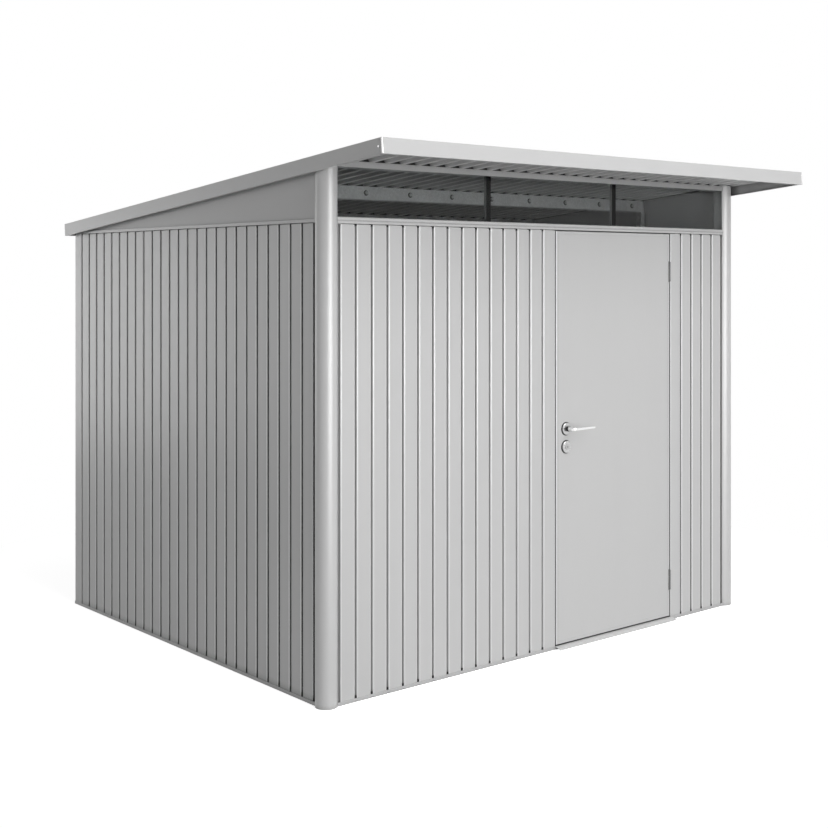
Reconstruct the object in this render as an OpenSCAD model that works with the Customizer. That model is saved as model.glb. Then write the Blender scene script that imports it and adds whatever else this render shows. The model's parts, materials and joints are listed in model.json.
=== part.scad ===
// Metal storage shed with a mono-pitch roof, a glazed strip under the eaves and one hinged door.
// X runs along the front to the right, Y to the back, Z up, all in millimetres.

/* [Walls] */
// Spacing of the upright grooves in the wall sheets
rib_pitch = 80; // [70:1:90]
// Grooves in one wall sheet
panel_ribs = 5; // [4:1:6]
// Wall sheets left of the door
panels_left = 3; // [1:1:4]
// Wall sheets right of the door
panels_right = 1; // [1:1:3]
// Wall sheets in each side wall
panels_side = 5; // [4:1:7]
// Thickness of the wall and roof sheet
gauge = 0.8; // [0.6:0.1:1.2]
// Width of a groove between its flanks
groove_w = 9; // [8:0.5:11]
// Width of a groove at its floor
groove_floor = 7; // [6:0.5:8]
// Depth of a groove
groove_depth = 13; // [10:0.5:14]
// Outer radius of the folds along the grooves
lip_r = 5.5; // [3:0.5:7]
// Outer radius of the folds along the doorway
edge_r = 3.5; // [2:0.5:5]
// Gap between two neighbouring sheets
seam = 0.6; // [0.4:0.1:1]
// Gap between the sheets and the rails above them
sheet_gap = 3; // [2:0.5:5]
// Distance from the last groove to the wall's corner
corner_w = 72; // [68:1:80]
// Height of the rail over the front sheets, which is also the height of the doorway
wall_h = 1873; // [1800:1:1950]
// How much higher the side and rear rails sit
side_step = 4; // [0:1:10]

/* [Corner posts] */
// Outer radius of a round front post
post_r = 44; // [42:0.5:48]
// Wall thickness of a front post
post_t = 2.5; // [2:0.1:3.5]
// How far a front post stands proud of the wall
post_proud = 16; // [12:1:20]
// Distance from a front post's axis to its flats, which face the walls
post_flat = 36; // [32:1:38]
// Thickness of the strips behind the sheets' edges
strip_t = 3; // [2:0.5:4]
// Reach of the strips behind a sheet
strip_w = 14; // [10:1:18]
// Clearance where a rail is cut to fit round a post
cope = 0.3; // [0.2:0.1:0.5]

/* [Rails] */
// Height of the base rail's outer face
base_h = 14; // [12:0.5:18]
// Width of the base rail on the ground
base_w = 50; // [48:1:60]
// How far the base rail stands proud of the wall
base_proud = 2; // [1:0.5:3]
// Width of the drain slots under the front base rail
drain_w = 12; // [8:1:16]
// Height of the drain slots
drain_h = 4; // [3:0.5:6]
// Radius of an anchor hole in the base rail
anchor_r = 5; // [4:0.5:6]
// Thickness of the rails
rail_t = 2; // [1.6:0.1:2.4]
// Height by which the tongues of the rails overlap the sheets
tongue_h = 30; // [20:1:40]
// Height of the rail under the glazing
front_rail_h = 23; // [20:1:32]
// Height of the line pressed along the rail under the glazing
line_h = 4; // [3:0.5:5]
// Depth of that line
line_d = 3; // [2:0.5:4]
// Height of the rails on top of the side and rear walls
side_rail_h = 13; // [11:1:18]
// How far the top rails stand proud of the wall
rail_proud = 3; // [2:0.5:5]

/* [Glazing] */
// Height of the glazed strip
glass_h = 198; // [150:1:260]
// Thickness of the panes
pane_t = 4; // [3:0.5:6]
// Distance of the panes behind the wall's face
pane_d = 6; // [5:0.5:8]
// Height of the lips that hold the panes
glaze_lip = 3; // [2:0.5:6]
// Height of the beam over the panes
header_h = 24; // [20:1:34]
// Depth of the beam over the panes
header_w = 40; // [36:1:50]
// Width of a mullion
mullion_w = 26; // [22:1:36]
// Depth of a mullion
mullion_d = 14; // [10:1:18]

/* [Roof] */
// Height of the roof sheet over the rear rail
rear_rise = 28; // [22:1:60]
// Reach of the roof in front of the front wall, along the slope
roof_front = 399; // [300:1:500]
// Reach of the roof behind the rear wall, along the slope
roof_back = 50; // [40:1:100]
// Reach of the roof beyond a side wall
roof_side = 35.5; // [34:0.5:60]
// Height of the roof's ribs
roof_rib_h = 14; // [10:1:16]
// Width of a rib at its crown
crown_w = 46; // [36:1:50]
// Width of a rib at its foot
rib_foot_w = 58; // [54:1:66]
// Height of the fascia
fascia_h = 60; // [56:1:80]
// Thickness of the fascia
fascia_t = 1.5; // [1.2:0.1:2]
// Width of the fascia's folded flanges
fascia_lip = 14; // [10:1:15]
// Length by which the front and rear fascia fold round the corner
fascia_return = 16; // [15:1:24]
// Width of the turned-up edge of the roof sheets
edge_lip = 12; // [10:1:14]
// Clearance between the roof sheets' edge and the fascia
edge_gap = 4; // [2:0.5:5]
// Distance of a gable sheet behind the wall's face
gable_d = 2; // [1:0.5:3]
// Thickness of a gable sheet
gable_t = 1; // [0.8:0.1:1.5]
// Width of a gable sheet's flange under the roof
gable_flange = 14; // [10:1:15]
// Width of the rear rail's flange under the roof
rear_flange = 32; // [24:1:36]
// Room left between the flanges and the pieces beside them
flange_room = 6; // [4:1:10]

/* [Purlins] */
// Height of the purlins
purlin_h = 58; // [50:1:70]
// Width of the purlins' flanges
purlin_w = 36; // [30:1:40]
// Place of the front purlin, from the front wall along the slope
purlin_front_at = 555; // [450:1:700]
// Place of the rear purlin, from the front wall along the slope
purlin_rear_at = 1390; // [1300:1:1500]
// Distance from a purlin's end to the wall's face
purlin_end = 20; // [18:1:24]
// Depth of the posts under the purlins
purlin_post_d = 30; // [26:1:32]
// Spacing of the round dimples along the purlins
dimple_pitch = 257; // [200:1:300]
// Radius of a dimple
dimple_r = 13; // [8:1:16]
// Depth of a dimple
dimple_d = 1; // [0.6:0.1:1.2]

/* [Doorway] */
// Wall sheets that the doorway takes the place of
door_panels = 2; // [2:1:3]
// Distance from the sheet module to the doorway's edge
reveal = 1; // [0.5:0.5:2]
// Width of the jambs
jamb_w = 40; // [34:1:44]
// Gap between the leaf's back and the stops
stop_gap = 8.8; // [8:0.1:10]
// Reach of the stops into the doorway
stop_reach = 16; // [13:0.5:17]
// Reach of the sill in front of the base rail
sill_d = 26; // [20:1:40]
// Height of the sill
sill_h = 12; // [10:0.5:12]
// Drop of the sill to its front edge
sill_drop = 5; // [3:0.5:6]
// Length of the sill past the doorway at the hinge side
sill_past = 8; // [4:1:12]

/* [Door] */
// Gap between leaf and wall at the lock side, the top and the foot
door_gap = 6; // [5.5:0.1:8]
// Gap between leaf and wall at the hinge side
hinge_gap = 8; // [8:0.1:10]
// Thickness of the leaf
leaf_d = 36; // [32:1:37]
// Thickness of the leaf's sheet
leaf_t = 1; // [0.8:0.1:1.2]
// Radius of the folds along the leaf's upright edges
leaf_r = 3; // [2:0.5:4]
// Width of the fold behind the leaf's edges
leaf_fold = 25; // [20:1:32]
// Distance of the line round the leaf's face from its edges
rim_in = 12; // [10:0.5:16]
// Width of that line
rim_w = 2; // [1:0.5:3]
// Depth of that line
rim_d = 0.5; // [0.3:0.1:0.6]

/* [Hinges] */
// Radius of a knuckle
knuckle_r = 5; // [4.6:0.1:5.4]
// Radius of a hinge pin
pin_r = 2.5; // [2:0.1:3]
// Running clearance round a pin
running = 0.05; // [0.03:0.01:0.08]
// Height of a hinge
hinge_h = 94; // [80:1:120]
// Distance from the leaf's foot to the middle of the lower hinge
hinge_foot = 174; // [120:1:280]
// Distance from the leaf's top to the middle of the upper hinge
hinge_head = 181; // [120:1:280]
// Gap between the knuckles of the two halves
knuckle_gap = 1; // [0.5:0.1:1.5]
// Thickness of a hinge's plate at the wall
hinge_plate = 3.2; // [2.8:0.1:3.4]
// Depth of a hinge's plate at the wall
hinge_plate_d = 24; // [18:1:28]
// Width of a hinge's plate behind the leaf's face
leaf_plate_w = 34; // [28:1:44]
// Thickness of that plate
leaf_plate_t = 3; // [2.5:0.1:3.5]
// Width of the notch in the leaf's edge
notch_w = 7; // [6.5:0.1:8]
// Depth of the notch in the leaf's edge
notch_d = 14; // [12:1:18]
// Room between a hinge and the notch's ends
notch_room = 4; // [3:0.5:6]
// Distance from the leaf's edge to the hinge's axis
axis_out = 1.5; // [1.2:0.1:1.8]
// Distance of the hinge's axis in front of the leaf
axis_front = 1; // [0.5:0.1:1.5]

/* [Handle] */
// Height of the lever's axis
lever_z = 980; // [960:1:1080]
// Distance of the lever and of the lock from the leaf's edge
lever_x = 63; // [55:1:75]
// Radius of the roses and of the lock's plates
rose_r = 27; // [24:0.5:29]
// Depth of the roses and of the lock's plates
rose_d = 9; // [7:0.5:12]
// Width of their bevel
bevel = 2; // [1:0.5:3]
// Radius of the lever's neck and bend
neck_r = 8.5; // [7.5:0.5:9]
// Clearance between the lever's neck and the leaf's face
neck_gap = 1; // [0.5:0.1:1.5]
// Radius of the spindle between the levers
spindle_r = 4.5; // [4:0.5:5]
// Room round the spindle inside the leaf
spindle_room = 3; // [2:0.5:4]
// Distance from the leaf to the middle of the grip
grip_out = 47; // [42:1:60]
// Radius of the bend between neck and grip
bend_r = 16; // [12:1:20]
// Length of the grip from the lever's axis to its tip
grip_len = 143; // [110:1:160]
// Radius of the grip's round tip
tip_r = 5.5; // [4:0.5:7]
// Height of the lock's middle
lock_z = 899; // [860:1:902]
// Radius of the key cylinder
cylinder_r = 9; // [8:0.5:11]
// Width of the key cylinder's collars
collar_w = 3; // [2:0.5:5]
// Thickness of the key cylinder's collars
collar_t = 2; // [1:0.5:3]
// Width of the keyholes
key_w = 2; // [1.5:0.1:2.5]
// Height of the keyholes
key_h = 10; // [8:0.5:12]
// Depth of the keyholes
key_d = 8; // [5:0.5:10]

/* [Hidden] */
$fn = 64;
// Overlap that joins the pieces of one solid
eps = 0.01;
// Overshoot of a cut beyond the piece
over = 1;
// Plan
panel_w = rib_pitch * panel_ribs;
front_panels = panels_left + door_panels + panels_right;
run_x = front_panels * panel_w / 2;
run_y = panels_side * panel_w / 2;
wall_x = run_x + corner_w;
wall_y = run_y + corner_w;
post_in = post_r - post_proud;
post_x = wall_x - post_in;
post_y = wall_y - post_in;
// Ends of the rails before they are cut to fit round the posts
rail_x = post_x - post_flat / 2;
rail_y = post_y - post_flat / 2;
// Depths behind a wall's face
backing = groove_depth + gauge;
tongue_d = backing + rail_t;
frame_d = leaf_d + stop_gap;
jamb_d = frame_d - tongue_d;
// Heights
side_h = wall_h + side_step;
glass_z = wall_h + front_rail_h;
gable_z = side_h + side_rail_h;
roof_z = glass_z + glass_h + header_h;
rear_z = gable_z + rear_rise;
strip_z = base_h + tongue_h + seam;
strip_h = wall_h - tongue_h - seam - strip_z;
// Roof
slope = atan2(roof_z - rear_z, 2 * wall_y);
rear_at = 2 * wall_y / cos(slope);
roof_x = wall_x + roof_side;
roof_y1 = rear_at + roof_back;
edge_x = roof_x - fascia_t - edge_gap;
fascia_top = roof_rib_h + fascia_t;
fascia_low = fascia_top - fascia_h;
reach_front = roof_front * cos(slope) - fascia_low * sin(slope);
reach_back = (roof_y1 * cos(slope) + fascia_top * sin(slope)) - 2 * wall_y;
plan_y = (reach_front - reach_back) / 2;
crown_z = roof_rib_h - gauge;
crown_off = gauge * tan(atan2(crown_z, (rib_foot_w - crown_w) / 2) / 2);
gable_x = wall_x - gable_d - gable_t;
purlin_x = wall_x - purlin_end;
dimples = floor(2 * purlin_x / dimple_pitch + 0.5);
mullion_x = run_x / 3;
// Doorway and leaf
door_x0 = -run_x + panels_left * panel_w;
door_x1 = door_x0 + door_panels * panel_w;
open_x0 = door_x0 - reveal;
open_x1 = door_x1 + reveal;
keeper_end = jamb_w + 2 * door_gap;
leaf_x0 = open_x0 + door_gap;
leaf_x1 = open_x1 - hinge_gap;
leaf_w = leaf_x1 - leaf_x0;
leaf_z0 = base_h + door_gap;
leaf_z1 = wall_h - door_gap;
leaf_h = leaf_z1 - leaf_z0;
tray_d = leaf_d - leaf_t;
axis_x = leaf_x1 + axis_out;
knuckle_h = hinge_h / 3;
hinge_low = leaf_z0 + hinge_foot;
hinge_high = leaf_z1 - hinge_head;

// Places: the plan, then each wall's own frame with x along the wall, y inwards and z up.
module plan() {
    translate([0, plan_y, 0])
        children();
}
module front_side() {
    plan()
        translate([0, -wall_y, 0])
            children();
}
module rear_side() {
    plan()
        mirror([0, 1, 0])
            translate([0, -wall_y, 0])
                children();
}
module right_side() {
    plan()
        translate([wall_x, 0, 0])
            rotate([0, 0, 90])
                children();
}
module left_side() {
    mirror([1, 0, 0])
        right_side()
            children();
}
module on_roof() {
    front_side()
        translate([0, 0, roof_z])
            rotate([-slope, 0, 0])
                children();
}
module leaf_place() {
    front_side()
        translate([leaf_x0, 0, 0])
            children();
}
// A section drawn as (inwards, up), run along the wall from x0 to x1.
module along(x0, x1) {
    translate([x0, 0, 0])
        rotate([90, 0, 90])
            linear_extrude(x1 - x0)
                children();
}
// Everything above a plane parallel to the roof.
module above_roof(level) {
    on_roof()
        translate([-2 * roof_x, -3 * wall_y, level])
            cube([4 * roof_x, 9 * wall_y, roof_z]);
}
function rev(l) = [for (i = [len(l) - 1 : -1 : 0]) l[i]];
function flat(lists) = [for (l = lists) for (q = l) q];

// Corner posts: in front round tubes with flats towards the walls, behind folded angles,
// all with strips behind the sheets' edges.
module post_bar(grow, z0, h) {
    r = post_r + grow;
    f = post_flat + grow;
    translate([-post_x, -post_y, z0])
        intersection() {
            cylinder(r = r, h = h);
            translate([f - 3 * r, f - 3 * r, -over])
                cube([3 * r, 3 * r, h + 2 * over]);
        }
}
module post_space() {
    plan()
        for (s = [0, 1])
            mirror([s, 0, 0])
                post_bar(cope, -over, roof_z + post_r);
}
module post_strip(run, post) {
    translate([-post + post_flat - post_t, backing, strip_z])
        cube([post - post_flat + post_t - run + strip_w, strip_t, strip_h]);
}
module post_front() {
    difference() {
        union() {
            plan()
                difference() {
                    post_bar(0, 0, roof_z + post_r);
                    post_bar(-post_t, -over, roof_z + 2 * post_r);
                }
            front_side()
                post_strip(run_x, post_x);
            left_side()
                post_strip(run_y, post_y);
        }
        above_roof(0);
    }
}
module post_front_left() {
    color("#c4c5c6")
        post_front();
}
module post_front_right() {
    color("#c4c5c6")
        mirror([1, 0, 0])
            post_front();
}
// Section of a rear post with its corner at the origin, legs along +x and +y.
module angle_section() {
    outer = groove_end(corner_w, 0);
    inner = groove_end(corner_w, gauge);
    polygon(flat([[[0, 0]], outer, rev(inner), [[gauge, gauge]],
        [for (q = inner) [q[1], q[0]]], [for (q = rev(outer)) [q[1], q[0]]]]));
}
module post_rear() {
    plan()
        translate([-wall_x, wall_y, 0])
            mirror([0, 1, 0]) {
                translate([0, 0, base_h])
                    linear_extrude(side_h - base_h)
                        angle_section();
                translate([corner_w - groove_floor / 2, backing, strip_z])
                    cube([groove_floor / 2 + strip_w, strip_t, strip_h]);
                translate([backing, corner_w - groove_floor / 2, strip_z])
                    cube([strip_t, groove_floor / 2 + strip_w, strip_h]);
            }
}
module post_rear_left() {
    color("#c9cacb")
        post_rear();
}
module post_rear_right() {
    color("#c9cacb")
        mirror([1, 0, 0])
            post_rear();
}

// Wall sheets: flat pans between upright grooves, each sheet ending in half a groove.
// Points of a sheet's face lie at depth t = 0, those of its back at t = gauge.
function groove_side(t) = flat([
    [for (a = [0 : 45 : 90]) [groove_w / 2 + lip_r - (lip_r - t) * sin(a),
        lip_r - (lip_r - t) * cos(a)]],
    [[groove_floor / 2 + t, groove_depth + t]]]);
function groove_left(c, t) = [for (q = groove_side(t)) [c - q[0], q[1]]];
function groove_right(c, t) = [for (q = rev(groove_side(t))) [c + q[0], q[1]]];
function groove_start(x, t) = flat([[[x + seam / 2, groove_depth + t]], groove_right(x, t)]);
function groove_end(x, t) = flat([groove_left(x, t), [[x - seam / 2, groove_depth + t]]]);
// The edge at the doorway folds back along the jamb; dir is the side on which the sheet lies.
function door_edge(x, dir, t) = flat([[[x + dir * t, frame_d]],
    [for (a = [0 : 45 : 90]) [x + dir * (edge_r - (edge_r - t) * cos(a)),
        edge_r - (edge_r - t) * sin(a)]]]);
function panel_line(x, t, from_door, to_door) = flat([
    from_door ? door_edge(x + reveal, 1, t) : groove_start(x, t),
    flat([for (i = [1 : panel_ribs - 1])
        flat([groove_left(x + i * rib_pitch, t), groove_right(x + i * rib_pitch, t)])]),
    to_door ? rev(door_edge(x + panel_w - reveal, -1, t)) : groove_end(x + panel_w, t)]);
module panel(x, top, from_door = false, to_door = false) {
    translate([0, 0, base_h])
        linear_extrude(top - base_h - sheet_gap)
            polygon(flat([panel_line(x, 0, from_door, to_door),
                rev(panel_line(x, gauge, from_door, to_door))]));
}
module panels(x0, count, top) {
    for (i = [0 : count - 1])
        panel(x0 + i * panel_w, top);
}
module front_wall_left() {
    color("#c9cacb")
        front_side()
            for (i = [0 : panels_left - 1])
                panel(-run_x + i * panel_w, wall_h, false, i == panels_left - 1);
}
module front_wall_right() {
    color("#c9cacb")
        front_side()
            for (i = [0 : panels_right - 1])
                panel(door_x1 + i * panel_w, wall_h, i == 0, false);
}
module left_wall() {
    color("#c9cacb")
        left_side()
            panels(-run_y, panels_side, side_h);
}
module right_wall() {
    color("#c9cacb")
        right_side()
            panels(-run_y, panels_side, side_h);
}
module rear_wall() {
    color("#c9cacb")
        rear_side()
            panels(-run_x, front_panels, side_h);
}

// Base rails: a foot flange on the ground, an outer face and a ledge with a tongue behind the sheets.
module base_section() {
    inside = rail_t - base_proud;
    polygon([[-base_proud, 0], [base_w, 0], [base_w, rail_t], [inside, rail_t],
        [inside, base_h - rail_t], [tongue_d, base_h - rail_t], [tongue_d, base_h],
        [-base_proud, base_h]]);
}
module base_tongue(run) {
    along(-run + eps, run - eps)
        translate([backing, base_h - rail_t])
            square([rail_t, tongue_h + rail_t]);
}
module anchor_holes() {
    for (s = [-1, 1])
        translate([s * (run_x - panel_w / 2), (tongue_d + base_w) / 2, -over])
            cylinder(r = anchor_r, h = rail_t + 2 * over);
}
module drains(x0, count) {
    for (i = [1 : count * panel_ribs - 1])
        translate([x0 + i * rib_pitch - drain_w / 2, -base_proud - over, -over])
            cube([drain_w, rail_t + over, drain_h + over]);
}
module base_rail_front() {
    color("#b9babb")
        difference() {
            front_side()
                difference() {
                    along(-rail_x, rail_x)
                        base_section();
                    anchor_holes();
                    drains(-run_x, panels_left);
                    drains(door_x1, panels_right);
                }
            post_space();
        }
}
module base_rail_rear() {
    color("#b9babb")
        rear_side()
            difference() {
                union() {
                    along(-wall_x + base_w, wall_x - base_w)
                        base_section();
                    base_tongue(run_x);
                }
                anchor_holes();
            }
}
module base_rail_side() {
    difference() {
        right_side() {
            along(-rail_y, wall_y + base_proud)
                base_section();
            base_tongue(run_y);
        }
        post_space();
    }
}
module base_rail_left() {
    color("#b9babb")
        mirror([1, 0, 0])
            base_rail_side();
}
module base_rail_right() {
    color("#b9babb")
        base_rail_side();
}
function sill_top(d) = sill_h - sill_drop * d / sill_d;
module door_sill() {
    back = sill_d - rail_t;
    color("#d2d3d4")
        front_side()
            along(door_x0, door_x1 + sill_past)
                translate([-base_proud, 0])
                    polygon([[0, 0], [0, sill_top(0)], [-sill_d, sill_top(sill_d)], [-sill_d, 0],
                        [-back, 0], [-back, sill_top(back) - rail_t],
                        [-rail_t, sill_top(rail_t) - rail_t], [-rail_t, 0]]);
}

// Rails on top of the walls: a hollow bar, and a tongue behind the sheets.
module rail_bar(z0, h, d1, face) {
    difference() {
        translate([-rail_proud, z0])
            square([d1 + rail_proud, h]);
        translate([face - rail_proud, z0 + rail_t])
            square([d1 + rail_proud - face - rail_t, h - 2 * rail_t]);
    }
}
module rail_tongue(run) {
    along(-run + eps, run - eps)
        translate([backing, side_h - tongue_h])
            square([rail_t, tongue_h + rail_t]);
}
module front_rail() {
    color("#bcbdbe")
        difference() {
            front_side()
                along(-rail_x, rail_x) {
                    difference() {
                        rail_bar(wall_h, front_rail_h, frame_d, line_d + rail_t);
                        translate([-rail_proud - over, wall_h + (front_rail_h - line_h) / 2])
                            square([line_d + over, line_h]);
                    }
                    for (d = [pane_d - rail_t, pane_d + pane_t])
                        translate([d, glass_z - eps])
                            square([rail_t, glaze_lip + eps]);
                }
            post_space();
        }
}
module front_keepers() {
    color("#a2a3a4")
        front_side()
            for (z = [base_h, wall_h - tongue_h]) {
                translate([-run_x + eps, backing, z])
                    cube([panels_left * panel_w - keeper_end, rail_t, tongue_h]);
                translate([door_x1 + keeper_end, backing, z])
                    cube([panels_right * panel_w - keeper_end - eps, rail_t, tongue_h]);
            }
}
module side_rail() {
    difference() {
        right_side() {
            along(-rail_y, wall_y + rail_proud)
                rail_bar(side_h, side_rail_h, tongue_d, rail_t);
            rail_tongue(run_y);
        }
        post_space();
    }
}
module side_rail_left() {
    color("#bcbdbe")
        mirror([1, 0, 0])
            side_rail();
}
module side_rail_right() {
    color("#bcbdbe")
        side_rail();
}
// The rear rail carries a plate that closes the gap up to the roof.
module rear_rail() {
    bar_x = wall_x - tongue_d;
    flange_x = gable_x - gable_flange - flange_room;
    color("#bcbdbe")
        difference() {
            union() {
                rear_side() {
                    along(-bar_x, bar_x) {
                        rail_bar(side_h, side_rail_h, tongue_d, rail_t);
                        translate([gable_d, gable_z - eps])
                            square([rail_t, rear_rise]);
                    }
                    rail_tongue(run_x);
                    along(-gable_x, gable_x)
                        translate([gable_d, gable_z])
                            square([rail_t, 2 * rear_rise]);
                }
                on_roof()
                    translate([-flange_x, rear_at - gable_d - rear_flange, -rail_t])
                        cube([2 * flange_x, rear_flange, rail_t]);
            }
            above_roof(0);
        }
}

// Glazed strip: beam, panes, and mullions behind them.
module header_beam() {
    color("#9a9b9c")
        difference() {
            on_roof()
                along(-rail_x, rail_x)
                    difference() {
                        translate([0, -header_h])
                            square([header_w, header_h]);
                        translate([rail_t, rail_t - header_h])
                            square([header_w - 2 * rail_t, header_h - 2 * rail_t]);
                    }
            post_space();
        }
}
module pane(x0, x1) {
    front_side()
        translate([x0, pane_d, glass_z])
            cube([x1 - x0, pane_t, glass_h + header_h]);
}
module glazing() {
    color("#dfe8ea", 0.35)
        difference() {
            union() {
                pane(-rail_x, -mullion_x - seam / 2);
                pane(-mullion_x + seam / 2, mullion_x - seam / 2);
                pane(mullion_x + seam / 2, rail_x);
            }
            above_roof(-header_h);
            post_space();
        }
}
module mullions() {
    color("#4a4b4d")
        difference() {
            front_side()
                for (s = [-1, 1])
                    translate([s * mullion_x - mullion_w / 2, pane_d + pane_t, glass_z + glaze_lip])
                        cube([mullion_w, mullion_d, glass_h + header_h]);
            above_roof(-header_h);
        }
}

// Gables: flat sheets between the side rails and the roof, with a flange under the roof.
module gable() {
    flange_y0 = post_in + post_flat + flange_room;
    flange_y1 = rear_at - gable_d - rear_flange - flange_room;
    difference() {
        union() {
            right_side()
                translate([-rail_y, gable_d, gable_z])
                    cube([rail_y + wall_y, gable_t, roof_z - gable_z]);
            on_roof()
                translate([gable_x - gable_flange, flange_y0, -gable_t])
                    cube([gable_flange + eps, flange_y1 - flange_y0, gable_t]);
        }
        above_roof(0);
        post_space();
    }
}
module gable_left() {
    color("#a6a7a8")
        mirror([1, 0, 0])
            gable();
}
module gable_right() {
    color("#a6a7a8")
        gable();
}

// Roof: purlins on posts, ribbed sheets and a folded fascia all round.
module purlin(at) {
    on_roof()
        translate([0, at, 0])
            difference() {
                along(-purlin_x, purlin_x)
                    polygon([[0, -purlin_h], [purlin_w, -purlin_h], [purlin_w, rail_t - purlin_h],
                        [rail_t, rail_t - purlin_h], [rail_t, -rail_t], [purlin_w, -rail_t],
                        [purlin_w, 0], [0, 0]]);
                for (i = [0 : dimples - 1])
                    translate([(i - (dimples - 1) / 2) * dimple_pitch, -over, -purlin_h / 2])
                        rotate([-90, 0, 0])
                            cylinder(r = dimple_r, h = dimple_d + over);
            }
}
module purlin_front() {
    color("#a2a3a4")
        purlin(purlin_front_at);
}
module purlin_rear() {
    color("#a2a3a4")
        purlin(purlin_rear_at);
}
module purlin_post(at) {
    y = -wall_y + at * cos(slope) - purlin_h * sin(slope);
    inner = purlin_w - rail_t;
    right_side()
        translate([y, tongue_d, rail_t])
            linear_extrude(roof_z)
                polygon([[0, 0], [purlin_w, 0], [purlin_w, purlin_post_d], [inner, purlin_post_d],
                    [inner, rail_t], [rail_t, rail_t], [rail_t, purlin_post_d], [0, purlin_post_d]]);
}
module purlin_posts() {
    difference() {
        union() {
            purlin_post(purlin_front_at);
            purlin_post(purlin_rear_at);
        }
        above_roof(-purlin_h);
    }
}
module purlin_posts_left() {
    color("#a2a3a4")
        mirror([1, 0, 0])
            purlin_posts();
}
module purlin_posts_right() {
    color("#a2a3a4")
        purlin_posts();
}
// Points of a roof sheet's underside lie at t = 0, those of its top at t = gauge.
function rib(c, t) = [for (q = [[-rib_foot_w, 0], [-crown_w, crown_z], [crown_w, crown_z],
    [rib_foot_w, 0]]) [c + q[0] / 2 + sign(q[0]) * crown_off * t / gauge, q[1] + t]];
function roof_edge(t) = [[-edge_x, crown_z + t], [-edge_x + edge_lip + t, crown_z + t],
    [-edge_x + edge_lip + t, t]];
function roof_line(i, t) = flat([
    i == 0 ? roof_edge(t) : [[-run_x + i * panel_w + seam / 2, t]],
    flat([for (k = [(i == 0 ? -1 : 0) : panel_ribs - (i == front_panels - 1 ? 0 : 1)])
        rib(-run_x + i * panel_w + rib_pitch * (k + 0.5), t)]),
    i == front_panels - 1 ? [for (q = rev(roof_edge(t))) [-q[0], q[1]]]
        : [[-run_x + (i + 1) * panel_w - seam / 2, t]]]);
module roof_sheets() {
    y0 = -roof_front + fascia_t + seam;
    y1 = roof_y1 - fascia_t - seam;
    color("#bfc0c1")
        on_roof()
            for (i = [0 : front_panels - 1])
                translate([0, y1, 0])
                    rotate([90, 0, 0])
                        linear_extrude(y1 - y0)
                            polygon(flat([roof_line(i, 0), rev(roof_line(i, gauge))]));
}
module fascia_section() {
    translate([0, fascia_low])
        difference() {
            square([fascia_lip, fascia_h]);
            translate([fascia_t, fascia_t])
                square([fascia_lip, fascia_h - 2 * fascia_t]);
        }
}
module fascia_end() {
    along(-roof_x, roof_x)
        fascia_section();
    for (x = [-roof_x, roof_x - fascia_t])
        translate([x, 0, fascia_low])
            cube([fascia_t, fascia_return, fascia_h]);
}
module fascia_front() {
    color("#cfd0d1")
        on_roof()
            translate([0, -roof_front, 0])
                fascia_end();
}
module fascia_rear() {
    color("#cfd0d1")
        on_roof()
            translate([0, roof_y1, 0])
                mirror([0, 1, 0])
                    fascia_end();
}
module fascia_side() {
    on_roof()
        translate([roof_x, 0, 0])
            rotate([0, 0, 90])
                along(-roof_front + fascia_return + seam, roof_y1 - fascia_return - seam)
                    fascia_section();
}
module fascia_left() {
    color("#cfd0d1")
        mirror([1, 0, 0])
            fascia_side();
}
module fascia_right() {
    color("#cfd0d1")
        fascia_side();
}

// Doorway: jambs with stops behind the leaf, and the hinges' fixed halves.
module jamb() {
    translate([-jamb_w, tongue_d, rail_t])
        linear_extrude(wall_h - rail_t)
            difference() {
                square([jamb_w, jamb_d]);
                translate([rail_t, rail_t])
                    square([jamb_w - 2 * rail_t, jamb_d - 2 * rail_t]);
            }
}
module door_jambs() {
    color("#aeafb0")
        front_side() {
            translate([open_x0 - gauge, 0, 0])
                jamb();
            translate([open_x1 + gauge, 0, 0])
                mirror([1, 0, 0])
                    jamb();
        }
}
module door_stops() {
    side_w = jamb_w + gauge + stop_reach;
    top_x0 = open_x0 + stop_reach + seam;
    top_x1 = open_x1 - stop_reach - seam;
    color("#8f9091")
        front_side()
            translate([0, frame_d, 0]) {
                translate([open_x0 - gauge - jamb_w, 0, rail_t])
                    cube([side_w, rail_t, wall_h - rail_t]);
                translate([open_x1 - stop_reach, 0, rail_t])
                    cube([side_w, rail_t, wall_h - rail_t]);
                translate([top_x0, 0, wall_h - 2 * stop_reach])
                    cube([top_x1 - top_x0, rail_t, 2 * stop_reach + front_rail_h / 2]);
            }
}
module knuckle(z0, z1) {
    translate([axis_x, -axis_front, z0])
        cylinder(r = knuckle_r, h = z1 - z0);
}
module hinge_bracket(z) {
    z0 = z - hinge_h / 2;
    plate_y = knuckle_r + over;
    translate([open_x1 - hinge_plate, plate_y, z0])
        cube([hinge_plate, hinge_plate_d, hinge_h]);
    for (k = [0, 2]) {
        knuckle(z0 + k * knuckle_h, z0 + (k + 1) * knuckle_h);
        translate([open_x1 - hinge_plate, -axis_front, z0 + k * knuckle_h])
            cube([hinge_plate, plate_y + axis_front + over, knuckle_h]);
    }
    translate([axis_x, -axis_front, z0 + over])
        cylinder(r = pin_r, h = hinge_h - 2 * over);
}
module hinge_brackets() {
    color("#77797b")
        front_side() {
            hinge_bracket(hinge_low);
            hinge_bracket(hinge_high);
        }
}

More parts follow.
